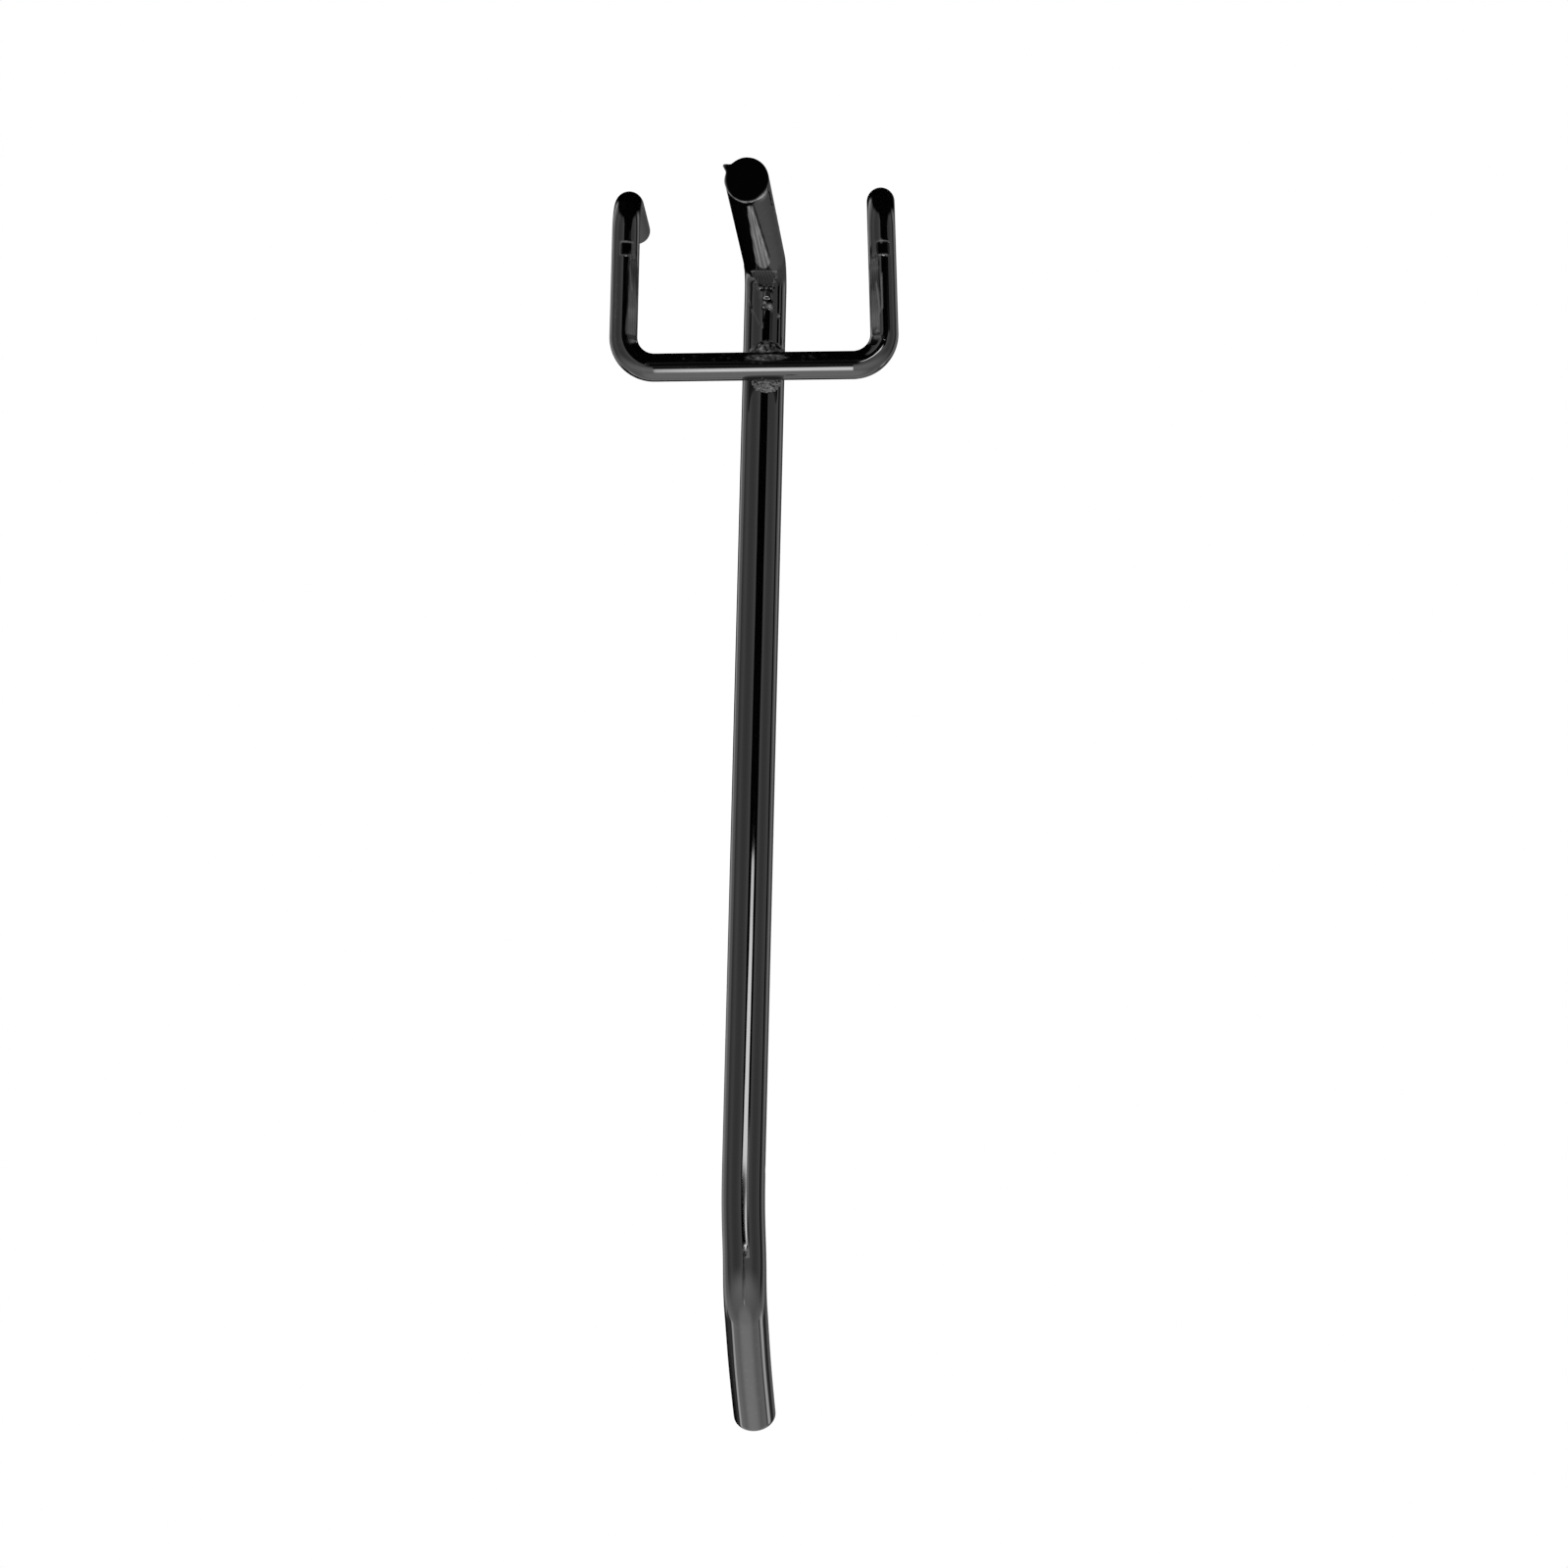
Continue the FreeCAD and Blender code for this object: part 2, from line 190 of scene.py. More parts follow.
wire_line = start_line(first_elbow + PRONG_RISE * prong_up, -leg_in, -prong_up)
wire_line = feed(wire_line, PRONG_RISE - elbow_cut, RUN_STEP)
wire_line = bend_towards(wire_line, leg_in, ELBOW_BEND, BEND_STEP)
wire_line = feed(wire_line, PRONG_REACH - elbow_cut - corner_cut, RUN_STEP)
wire_line = bend_towards(wire_line, bar_way, CORNER_BEND, BEND_STEP)
wire_line = feed(wire_line, PRONG_SPACING - 2 * corner_cut, RUN_STEP)
wire_line = bend_towards(wire_line, leg_out, CORNER_BEND, BEND_STEP)
wire_line = feed(wire_line, PRONG_REACH - elbow_cut - corner_cut, RUN_STEP)
wire_line = bend_towards(wire_line, prong_up, ELBOW_BEND, BEND_STEP)
wire_line = feed(wire_line, PRONG_RISE - elbow_cut, RUN_STEP)
print("back wire line", len(wire_line["points"]), "samples,", round(distances(wire_line)[-1], 1), "mm long")

# %% [markdown]
# ## From rows of points to a closed mesh
#
# Any surface here is a table of points: one row for each step along, one column for each step round.
# The first and the last row shrink to a single point, so the skin is closed. Every face is four
# neighbours in the table, and only the two end rows make triangles. Whole tables keep the code short
# and let every mark be written as a formula.

# %% Mesh from a table of points
def keep_on_points(mesh, carried):
    """Tables kept as attributes: the first row once, all rows between, the last row once."""
    for key, values in carried.items():
        kind, field = ("FLOAT_VECTOR", "vector") if values.ndim == 3 else ("FLOAT", "value")
        kept = np.concatenate([values[0, 0].ravel(), values[1:-1].ravel(), values[-1, 0].ravel()])
        mesh.attributes.new(key, kind, "POINT").data.foreach_set(field, kept)


def closed_mesh(name, table, carried):
    """A closed skin: faces join each row to the next and wrap round, and fans close both poles.

    table is rows by columns by 3 in millimetres. carried holds more tables with the same rows and
    columns, which the materials read: vectors, or single numbers.
    """
    rows, columns = table.shape[:2]
    points = np.vstack([table[:1, 0], table[1:-1].reshape(-1, 3), table[-1:, 0]]) * MM
    row, column = np.meshgrid(np.arange(rows - 3), np.arange(columns), indexing="ij")
    here = 1 + row * columns + column
    across = 1 + row * columns + (column + 1) % columns
    quads = np.stack([here, across, across + columns, here + columns], axis=-1).reshape(-1, 4)
    ring = np.arange(columns)
    after = (ring + 1) % columns
    start = np.stack([np.zeros_like(ring), 1 + after, 1 + ring], axis=-1)
    last_row = 1 + (rows - 3) * columns
    end = np.stack([np.full_like(ring, len(points) - 1), last_row + ring, last_row + after], axis=-1)
    mesh = bpy.data.meshes.new(name)
    mesh.from_pydata(points.tolist(), [], quads.tolist() + start.tolist() + end.tolist())
    mesh.shade_smooth()
    keep_on_points(mesh, carried)
    piece = bpy.data.objects.new(name, mesh)
    bpy.context.collection.objects.link(piece)
    return piece


# %% Rows that close a cut end
FACE_ROWS, RIM_ROWS = 9, 7


def end_profile(radius):
    """Cut end seen from the side: (share of the radius, setback) from the centre out to the rim.

    The face is flat, then a quarter circle of END_ROUND turns it into the wire's side.
    """
    rounded = END_ROUND / radius
    quarter = np.linspace(0, np.pi / 2, RIM_ROWS)[1:-1]
    share = np.concatenate([np.linspace(0, 1 - rounded, FACE_ROWS), 1 - rounded * (1 - np.sin(quarter))])
    setback = np.concatenate([np.zeros(FACE_ROWS), END_ROUND * (1 - np.cos(quarter))])
    return share, setback


print("rows on each cut end", len(end_profile(ROD_RADIUS)[0]))

# %% Rows along a wire
MARK_STEP = 0.12


def rows_along(s, zones):
    """Distances of the rows: the line's own samples, and closer ones in the zones that carry marks."""
    kept = s[(s > END_ROUND) & (s < s[-1] - END_ROUND)]
    for low, high in zones:
        kept = kept[(kept < low) | (kept > high)]
    close = [np.linspace(low, high, int(np.ceil((high - low) / MARK_STEP)) + 1) for low, high in zones]
    return np.sort(np.concatenate([kept, *close]))


def rows_of(line, radius, zones):
    """Each row's distance, share of the radius, centre and directions, from one cut end to the other.

    Between two samples of the line, centre and directions are blended in proportion.
    """
    s = distances(line)
    share, setback = end_profile(radius)
    inner = rows_along(s, zones)
    rows_s = np.concatenate([setback, inner, s[-1] - setback[::-1]])
    rows_share = np.concatenate([share, np.ones(len(inner)), share[::-1]])
    index = np.interp(rows_s, s, np.arange(len(s)))
    low = np.clip(index.astype(int), 0, len(s) - 2)
    part = (index - low)[:, None]
    centres = (1 - part) * line["points"][low] + part * line["points"][low + 1]
    part = part[..., None]
    frames = (1 - part) * line["frames"][low] + part * line["frames"][low + 1]
    return rows_s, rows_share, centres, frames / np.linalg.norm(frames, axis=1, keepdims=True)


# %% A wire's skin with marks in it
CUT_BLEND = 4.0


def wire_surface(line, radius, columns, zones, marks, coat_shares, start_cut, end_cut):
    """Table of points round the line: centre + (radius + marks) * (cos a under + sin a side).

    marks(s, a) gives millimetres outwards at distance s and angle a. The coat's shares at (s, a) say
    how far the coat there is greyed, by wear and by painted highlights, and how far it is dull.
    start_cut and end_cut give millimetres along the wire by which a cut end stands out, at (under, side) on
    its face.
    """
    rows_s, rows_share, centres, frames = rows_of(line, radius, zones)
    S, A = np.meshgrid(rows_s, np.linspace(-np.pi, np.pi, columns, endpoint=False), indexing="ij")
    reach = rows_share[:, None] * (radius + marks(S, A))
    under, side = reach * np.cos(A), reach * np.sin(A)
    way = np.cos(A)[..., None] * frames[:, None, :, 0] + np.sin(A)[..., None] * frames[:, None, :, 1]
    table = centres[:, None] + reach[..., None] * way
    for cut, from_end, outwards in ((start_cut, S, -1), (end_cut, rows_s[-1] - S, 1)):
        shift = outwards * cut(under, side) * np.clip(1 - from_end / CUT_BLEND, 0, 1)
        table += shift[..., None] * frames[:, None, :, 2]
    wear_and_highlight, dull = coat_shares(S, A)
    return table, {"straight": np.stack([under, side, S], axis=-1), "wear_and_highlight": wear_and_highlight, "dull": dull}


# %% [markdown]
# ## Shapes that a mark can have
#
# A mark is a small hill or hollow in the skin, a flat that a tool pressed, a scratch, or crumbs of
# metal. A modeller could sculpt them. Here each is one formula in the distance S along the wire and
# the angle A round it, so marks just add up, and the same formula tells the coat where it is rubbed.
# Angle 0 is the side that faces the viewer below. On the rod the angle grows towards +X, on the back
# wire towards the inside of the U.

# %% Hills, windows and waves
def off_by(A, angle, radius):
    """Distance round the wire from a line at the given angle, in millimetres."""
    return (np.mod(A - np.radians(angle) + np.pi, 2 * np.pi) - np.pi) * radius


def bump(S, A, at, angle, length, width, radius):
    """Smooth hill of height 1: a bell in distance along and in distance round, both in mm."""
    return np.exp(-((S - at) / length) ** 2 - (off_by(A, angle, radius) / width) ** 2)


def window(values, low, high, soft):
    """1 between low and high, falling to 0 over the width soft on each side."""
    edge = np.clip(np.minimum(values - low, high - values) / soft + 0.5, 0, 1)
    return edge * edge * (3 - 2 * edge)


def area(S, A, span, soft_along, arc, soft_round):
    """1 on a patch between two distances and between two angles in degrees, with soft edges."""
    return window(S, *span, soft_along) * window(np.degrees(A), *arc, soft_round)


def waves(across, mean, *parts):
    """The mean plus one sine wave for each (height, rate, shift)."""
    return mean + sum(height * np.sin(rate * across + shift) for height, rate, shift in parts)


# %% Scratches
def scratch(S, A, start, end, width, radius):
    """A straight scratch between two places (distance, angle): a bell in the distance from its line."""
    way = np.array([end[0] - start[0], np.radians(end[1] - start[1]) * radius])
    length = np.linalg.norm(way)
    along, across = S - start[0], off_by(A, start[1], radius)
    run = (along * way[0] + across * way[1]) / length
    aside = (along * way[1] - across * way[0]) / length
    return np.exp(-(aside / width) ** 2) * window(run, 0, length, 2 * width)


# %% Crumbs and specks
CRUMB_SPREADS, CRUMB_REACH = (0.7, 1.4), 4


def crumbs(S, A, at, angle, length, width, radius, count, size, seed):
    """Small hills and hollows scattered over an oval: a sum of bells with chance places and heights."""
    chance = np.random.default_rng(seed)
    places = chance.uniform(-1, 1, (count, 2))
    places = places[np.hypot(*places.T) < 1]
    heights = chance.uniform(-1, 1, len(places))
    spreads = size * chance.uniform(*CRUMB_SPREADS, len(places))
    near = np.abs(S[:, 0] - at) < length + CRUMB_REACH * size
    field = np.zeros_like(S)
    for (along, across), height, spread in zip(places, heights, spreads):
        spot = (at + along * length, angle + np.degrees(across * width / radius))
        field[near] += height * bump(S[near], A[near], *spot, spread, spread, radius)
    return field


def specks(S, A, share, **field):
    """Rubbed specks: only the hills among the crumbs, times a share."""
    return share * np.clip(crumbs(S, A, **field), 0, 1)


# %% A flat pressed into a round skin
PRESSED_ARC, LEAST_COSINE = 1.2, 0.3


def pressed(marks, A, angle, level, radius):
    """Nothing stands further out than a plane: the marks, or the plane where it lies lower.

    level is where the plane lies against the round skin's top, and np.inf leaves the skin alone. Seen
    from the middle, a plane is as far as its least distance divided by the cosine of the angle to it.
    """
    around = off_by(A, angle, 1.0)
    plane = (radius + level) / np.maximum(np.cos(around), LEAST_COSINE) - radius
    return np.minimum(marks, np.where(np.abs(around) < PRESSED_ARC, plane, np.inf))


# %% [markdown]
# ## Marks on the carrying rod
#
# The heel was sheared off, which left a burr on its rim. The bender's pin pressed a flat into the
# inner side of the heel's bend. Between the bend and the weld, drops and crumbs of metal lie under
# the coat. Highlights are painted on the flat, on the bend's corner and on the drops and crumbs, and
# a long fan of painted reflection lies on the heel's front.

# %% Single hills and hollows: (distance, angle, length, width, height, share of wear and painted highlight)
ROD_HILLS = [
    # the burr, and the rolled edge of the cut
    (0.10, 121, 0.22, 0.34, 0.78, 1.0), (0.2, 84, 0.3, 0.7, 0.07, 0.9), (0.25, -40, 0.2, 0.5, 0.05, 0.9),
    (0.35, -47, 0.25, 0.5, 0.07, 0.5), (0.90, -52, 0.55, 0.60, 0.16, 0.25),
    # a fine ridge beside the bend, with a painted highlight along it
    (24.6, 72, 0.9, 0.14, 0.08, 0.4),
    # drops before the weld with painted highlights, and the hollows between them, one with painted shade
    (30.60, -3, 0.15, 0.17, 0.20, 1.0), (30.97, -17, 0.22, 0.28, 0.30, 0.8),
    (31.25, -24, 0.22, 0.24, 0.14, 0.3), (30.25, -9, 0.20, 0.36, -0.08, -0.6),
    (31.32, -5, 0.20, 0.32, -0.08, 0.0), (32.12, -45, 0.17, 0.17, 0.13, 0.9),
    (33.6, 1.5, 0.28, 0.11, 0.06, 0.4), (35.1, -64, 0.25, 0.12, 0.05, 0.5),
    # a nick and a speck near the front bend
    (134.8, -94, 0.3, 0.2, -0.08, 0.0), (144.1, -7.5, 0.12, 0.12, 0.04, 0.8),
]
HEIGHT, WEAR_AND_HIGHLIGHT = 4, 5


def rod_hills(S, A, column):
    """Sum of the rod's hills, each times its HEIGHT in millimetres or its share of wear and painted
    highlight.
    """
    return sum(hill[column] * bump(S, A, *hill[:4], ROD_RADIUS) for hill in ROD_HILLS)


print("hills and hollows on the rod", len(ROD_HILLS))

# %% The flat that the bender's pin pressed
PIN_FLAT_DEPTH, PIN_FLAT_LIFT = 0.45, 0.4
PIN_FLAT_TOP, PIN_FLAT_CURVE, PIN_FLAT_END = 21.5, 0.001, 28.6
PIN_FLAT_MIDDLE, PIN_FLAT_HALF, PIN_FLAT_TAPER, PIN_FLAT_WIDEST = -3, 38, 3.2, 22


def pin_flat(S, A):
    """Share of the flat, and of the painted highlight along its top edge.

    The top is a shallow parabola, which looks straight from below, and the flat narrows evenly.
    """
    degrees = np.degrees(A)
    aside = degrees - PIN_FLAT_MIDDLE
    top = PIN_FLAT_TOP + PIN_FLAT_CURVE * degrees ** 2
    half = PIN_FLAT_HALF - PIN_FLAT_TAPER * (S - PIN_FLAT_WIDEST)
    flat = window(S, top, PIN_FLAT_END, soft=0.25) * window(aside, -half, half, soft=3.0)
    edge = window(S, top - 0.25, top + 0.15, soft=0.3)
    return flat, edge * window(aside, -PIN_FLAT_HALF, PIN_FLAT_HALF, soft=4.0)


# %% Everything that stands out of the rod's skin or lies in it
BULGE = dict(at=29.3, angle=0, length=0.8, width=1.6, radius=ROD_RADIUS)
BEND_CRUMBS = dict(at=28.5, angle=-2, length=0.55, width=1.2, radius=ROD_RADIUS, count=60, size=0.16, seed=3)
HEEL_DIMPLES = dict(at=12, angle=-60, length=9, width=2.0, radius=ROD_RADIUS, count=160, size=0.25, seed=5)
LONG_SCRATCH = dict(start=(30.0, 51), end=(33.4, 9), radius=ROD_RADIUS)
BULGE_HEIGHT, CRUMB_HEIGHT, DIMPLE_HEIGHT, SCRATCH_DEPTH = 0.04, 0.13, 0.02, 0.02


def rod_marks(S, A):
    """Millimetres that the rod's skin stands out: bulge, pressed flat, crumbs, hills and a scratch."""
    flat, _ = pin_flat(S, A)
    level = PIN_FLAT_LIFT - (PIN_FLAT_LIFT + PIN_FLAT_DEPTH) * flat
    marks = BULGE_HEIGHT * bump(S, A, **BULGE)
    marks = pressed(marks, A, 0, np.where(flat > 0, level, np.inf), ROD_RADIUS)
    marks += CRUMB_HEIGHT * crumbs(S, A, **BEND_CRUMBS)
    marks += DIMPLE_HEIGHT * crumbs(S, A, **HEEL_DIMPLES)
    marks += rod_hills(S, A, HEIGHT)
    return marks - SCRATCH_DEPTH * scratch(S, A, width=0.12, **LONG_SCRATCH)


# %% The painted reflection on the heel's front, spread as a fan
FAN_START, FAN_END, FAN_CURVE, FAN_MIDDLE = 1.6, 20.6, 0.004, -9
FAN_LEFT, FAN_RIGHT = (1, 11), (-11, -16)
FAN_LINES = (0.62, (0.24, 19, 0.7), (0.14, 43, 2.0))
FAN_EDGE, FAN_EDGE_END = (-7, -2), 18


def fan_share(S, A):
    """Share of the painted reflection, a fan drawn out in fine lines, and of the dull line along its right
    edge.

    Both edges spread evenly with the distance: each is (degrees at the start, degrees more at the end).
    """
    degrees = np.degrees(A)
    run = (S - FAN_START) / (FAN_END - FAN_START)
    left, right = (first + more * run for first, more in (FAN_LEFT, FAN_RIGHT))
    end = FAN_END - FAN_CURVE * (degrees - FAN_MIDDLE) ** 2
    inside = window(degrees, right, left, soft=2.5) * window(S, FAN_START, end, soft=0.6)
    lines = waves((degrees - right) / (left - right), *FAN_LINES)
    edge = window(degrees, right + FAN_EDGE[0], right + FAN_EDGE[1], soft=2.5)
    return inside * lines, edge * window(S, FAN_START, FAN_EDGE_END, soft=2.0)


# %% Patches of the rod's coat, for wear, painted highlight and dullness: (from and to, soft, angles, soft)
BEND_TOP = ((28.8, 30.1), 0.5, (-18, 14), 8.0)
BEND_CORNER = ((22.2, 27.4), 2.6, (-92, -38), 16)
HEEL_RIM = ((0.10, 0.34), 0.12, (-70, 95), 20)
TIP_BEND_DULL = ((146.2, 149.0), 1.0, (-6, 2), 3)
CUT_FACE, CUT_FACE_SOFT, FACE_CLEAR = (-1, 0.13), 0.10, 0.12
TIP_SPECKS = dict(at=160, angle=0, length=12, width=2.4, radius=ROD_RADIUS, count=260, size=0.16, seed=9)
BEND_SPECKS = dict(at=145.2, angle=-7, length=1.6, width=0.3, radius=ROD_RADIUS, count=20, size=0.13, seed=12)


def rim_wear(degrees):
    """How worn the heel's rim is round its edge: two slow waves multiplied, so that it comes and goes."""
    return 0.6 + 0.4 * np.sin(degrees * 0.21) * np.sin(degrees * 0.083 + 1)


# %% How the rod's coat is worn, given painted highlights and reflection, and dulled
FLAT_EDGE_HIGHLIGHT, BEND_TOP_RUB, CRUMB_HIGHLIGHT_AND_SHADE, CORNER_HIGHLIGHT, SCRATCH_RUB, RIM_RUB = 0.75, 0.09, 0.5, 0.12, 0.14, 0.5
FAN_EDGE_DULL, CORNER_DULL, TIP_DULL = 0.8, 0.8, 0.45


def rod_wear_and_highlights(S, A):
    """How far the rod's coat is greyed, by wear and by painted highlights and reflection (0 to 1), and how
    far it is dull (1 on the heel's cut face).
    """
    degrees = np.degrees(A)
    fan, fan_edge = fan_share(S, A)
    flat, flat_edge = pin_flat(S, A)
    corner = area(S, A, *BEND_CORNER)
    # Painted reflection on the heel's front: the fan. Painted highlights: grey waves on the pressed flat, and
    # a bright line along its top edge.
    wear_and_highlight = fan + waves(degrees, 0.24, (0.10, 1.3, 0), (0.06, 2.9, S)) * flat + FLAT_EDGE_HIGHLIGHT * flat_edge
    # Grey on the bend's top, and a painted highlight on the bend's corner.
    wear_and_highlight += BEND_TOP_RUB * area(S, A, *BEND_TOP) + CORNER_HIGHLIGHT * corner
    # Painted highlights on the crumbs' hills and painted shade in their dents. The hills add wear on the burr
    # and painted highlights on the ridge and the drops.
    wear_and_highlight += CRUMB_HIGHLIGHT_AND_SHADE * np.clip(crumbs(S, A, **BEND_CRUMBS), -0.6, 1) + rod_hills(S, A, WEAR_AND_HIGHLIGHT)
    wear_and_highlight += SCRATCH_RUB * scratch(S, A, width=0.10, **LONG_SCRATCH)
    wear_and_highlight += RIM_RUB * area(S, A, *HEEL_RIM) * rim_wear(degrees)
    wear_and_highlight += specks(S, A, 0.07, **TIP_SPECKS) + specks(S, A, 0.35, **BEND_SPECKS)
    wear_and_highlight *= np.clip(S / FACE_CLEAR, 0, 1)
    dull = np.max([window(S, *CUT_FACE, CUT_FACE_SOFT), flat, FAN_EDGE_DULL * fan_edge,
                   CORNER_DULL * corner, TIP_DULL * area(S, A, *TIP_BEND_DULL)], axis=0)
    return np.clip(wear_and_highlight, 0, 1), dull


# %% The cut ends
HEEL_CUT_SLANT, HEEL_CUT_INSET, TORN_HEIGHT = 12.0, 0.07, 0.03


def heel_cut_face(under, side):
    """The heel's slanted cut: a plane that falls towards the board, with ridges from crossed waves."""
    torn = np.sin(4.1 * side + 1.3 * under) * np.sin(3.3 * under - 0.8 * side + 1)
    return TORN_HEIGHT * torn - HEEL_CUT_INSET - np.tan(np.radians(HEEL_CUT_SLANT)) * under


def square_cut(under, side):
    """A cut end with nothing standing out."""
    return np.zeros_like(under)


# %% The carrying rod
ROD_COLUMNS = 128
ROD_ZONES = [(1.0, 3.0), (24.0, 34.5)]
hook_rod = closed_mesh("coated_rod", *wire_surface(
    rod_line, ROD_RADIUS - SKIN_INSET, ROD_COLUMNS, ROD_ZONES,
    rod_marks, rod_wear_and_highlights, heel_cut_face, square_cut))
print(hook_rod.name, len(hook_rod.data.polygons), "faces")

# %% [markdown]
# ## Marks on the back wire
#
# The bender's grip bit a small rectangle into each leg and pushed up a rim round it. The insides of
# both legs are pressed flat and scratched, and a crease shows where each leg leaves its corner. On the
# crossbar the weld smeared a lens of rubbed metal. All of it is written as the rod's marks are.

# %% Bites of the grip: (from and to, angles, rubbed share of the rim)
GRIP_BITES = [((76.05, 77.5), (-13, 33), 0.25), ((19.35, 20.85), (-28, 20), 0.08)]
BITE_DEPTH, BITE_RIM_HEIGHT = 0.2, 0.05
BITE_RIM, BITE_SOFT = (0.18, 6), (0.16, 5)


def bite(S, A, span, arc):
    """Share of a rectangular bite, and of the rim that it pushed up round itself."""
    wide_span = (span[0] - BITE_RIM[0], span[1] + BITE_RIM[0])
    wide_arc = (arc[0] - BITE_RIM[1], arc[1] + BITE_RIM[1])
    inside = area(S, A, span, BITE_SOFT[0], arc, BITE_SOFT[1])
    return inside, area(S, A, wide_span, BITE_SOFT[0], wide_arc, BITE_SOFT[1]) - inside


# %% Flats on the legs (from and to, angle, depth), and creases (distance, angle)
LEG_FLATS = [((65.2, 75.8), 45, 0.20), ((21.2, 30.6), 40, 0.18)]
LEG_FLAT_LIFT, LEG_FLAT_SOFT, LEG_RIPPLE = 0.3, 2.2, (0.05, 1.1, 0.6)
CREASES = [(65.0, 48), (31.3, 30)]
CREASE_LENGTH, CREASE_HEIGHT, CREASE_WIDTH = 0.25, 0.09, 0.8


def creases(S, A, width):
    """Sum of the creases: short bells of the given width round the wire."""
    return sum(bump(S, A, at, angle, CREASE_LENGTH, width, WIRE_RADIUS) for at, angle in CREASES)


def wire_marks(S, A):
    """Millimetres that the back wire's skin stands out: bites, flats pressed on the legs, creases."""
    marks = np.zeros_like(S)
    for span, arc, _ in GRIP_BITES:
        inside, rim = bite(S, A, span, arc)
        marks += BITE_RIM_HEIGHT * rim - BITE_DEPTH * inside
    for span, angle, depth in LEG_FLATS:
        share = window(S, *span, LEG_FLAT_SOFT)
        level = waves(S, 0, LEG_RIPPLE) - depth * share + LEG_FLAT_LIFT * (1 - share)
        marks = pressed(marks, A, angle, np.where(share > 0, level, np.inf), WIRE_RADIUS)
    return marks + CREASE_HEIGHT * creases(S, A, CREASE_WIDTH)


# %% Where the back wire's coat is rubbed: scratches are (start, end, width, share)
LEG_SCRATCHES = [
    ((23.4, 5), (27.8, 6), 0.08, 0.7), ((20.98, -22), (21.02, 14), 0.10, 0.6),
    ((24.3, 32), (28.2, 14), 0.12, 0.45), ((30.3, 36), (30.5, 20), 0.12, 0.45),
    ((71.6, 44), (74.6, 24), 0.14, 0.3), ((19.5, 1), (19.0, 5), 0.12, 0.5),
]
STROKE_ARC, STROKE_SOFT = (-22, 26), (2.0, 6)
CREASE_RUB, CREASE_RUB_WIDTH = 0.4, 0.6
LENS_AT, LENS_ANGLE, LENS_HALF, LENS_HALF_ARC, LENS_SOFT = 46.6, 24, 2.5, 17, 0.3
LENS_GRAINS = dict(at=LENS_AT, angle=LENS_ANGLE, length=LENS_HALF, width=0.4, radius=WIRE_RADIUS,
                   count=160, size=0.13, seed=17)
WELD_SPECKS = dict(at=48.5, angle=30, length=9, width=1.0, radius=WIRE_RADIUS, count=120, size=0.14, seed=8)
BAR_SPECKS = dict(at=62, angle=-45, length=12, width=1.0, radius=WIRE_RADIUS, count=300, size=0.14, seed=14)


def leg_strokes(S, A, span, angle):
    """Rubbed strokes on a leg's flat: slow waves along and round, inside the flat's patch."""
    strokes = waves(np.degrees(A), waves(S, 0.30, (0.13, 0.9, 1.0)), (0.09, 0.5, S))
    arc = (angle + STROKE_ARC[0], angle + STROKE_ARC[1])
    return strokes * area(S, A, span, STROKE_SOFT[0], arc, STROKE_SOFT[1])


def weld_lens(S, A):
    """The weld's smear on the crossbar: grainy inside an ellipse in distance and angle."""
    place = ((S - LENS_AT) / LENS_HALF) ** 2 + ((np.degrees(A) - LENS_ANGLE) / LENS_HALF_ARC) ** 2
    return window(place, -1, 1, LENS_SOFT) * np.clip(0.22 + 0.35 * crumbs(S, A, **LENS_GRAINS), 0, 1)


# %% How the back wire's coat is rubbed and dulled
CROSSBAR_DULL = ((35.5, 61.0), 1.0, (-13, 4), 4)
CROSSBAR_DULLNESS = 0.9


def wire_finish(S, A):
    """How far the back wire's coat is worn, and how far it is dull: in the bites and on the crossbar."""
    wear_and_highlight = weld_lens(S, A) + CREASE_RUB * creases(S, A, CREASE_RUB_WIDTH)
    wear_and_highlight += specks(S, A, 0.10, **WELD_SPECKS) + specks(S, A, 0.06, **BAR_SPECKS)
    dull = CROSSBAR_DULLNESS * area(S, A, *CROSSBAR_DULL)
    for span, arc, rim_share in GRIP_BITES:
        inside, rim = bite(S, A, span, arc)
        wear_and_highlight += rim_share * rim
        dull = np.maximum(dull, inside)
    for span, angle, _ in LEG_FLATS:
        wear_and_highlight += leg_strokes(S, A, span, angle)
    for start, end, width, share in LEG_SCRATCHES:
        wear_and_highlight += share * scratch(S, A, start, end, width, WIRE_RADIUS)
    return np.clip(wear_and_highlight, 0, 1), dull


# %% The back wire
WIRE_COLUMNS = 96
WIRE_ZONES = [(18.8, 21.4), (64.0, 66.0), (75.6, 78.0)]
back_wire = closed_mesh("coated_back_wire", *wire_surface(
    wire_line, WIRE_RADIUS - SKIN_INSET, WIRE_COLUMNS, WIRE_ZONES,
    wire_marks, wire_finish, square_cut, square_cut))
print(back_wire.name, len(back_wire.data.polygons), "faces")

# %% [markdown]
# ## The weld
#
# Resistance welding squeezes hot metal out between the wires. It shows as a rough heap behind the
# crossbar and a smaller, ragged one in front of it. Displaced spheres would need a dense mesh and
# modifiers. One formula over all directions gives a closed heap, and sums of bells roughen it.

# %% A heap of squeezed-out metal
HEAP_COLUMNS, HEAP_ROWS, HEAP_GRAIN = 180, 130, 320
HEAP_RUBBED, HEAP_RUBBED_GRAIN = 0.20, 0.32


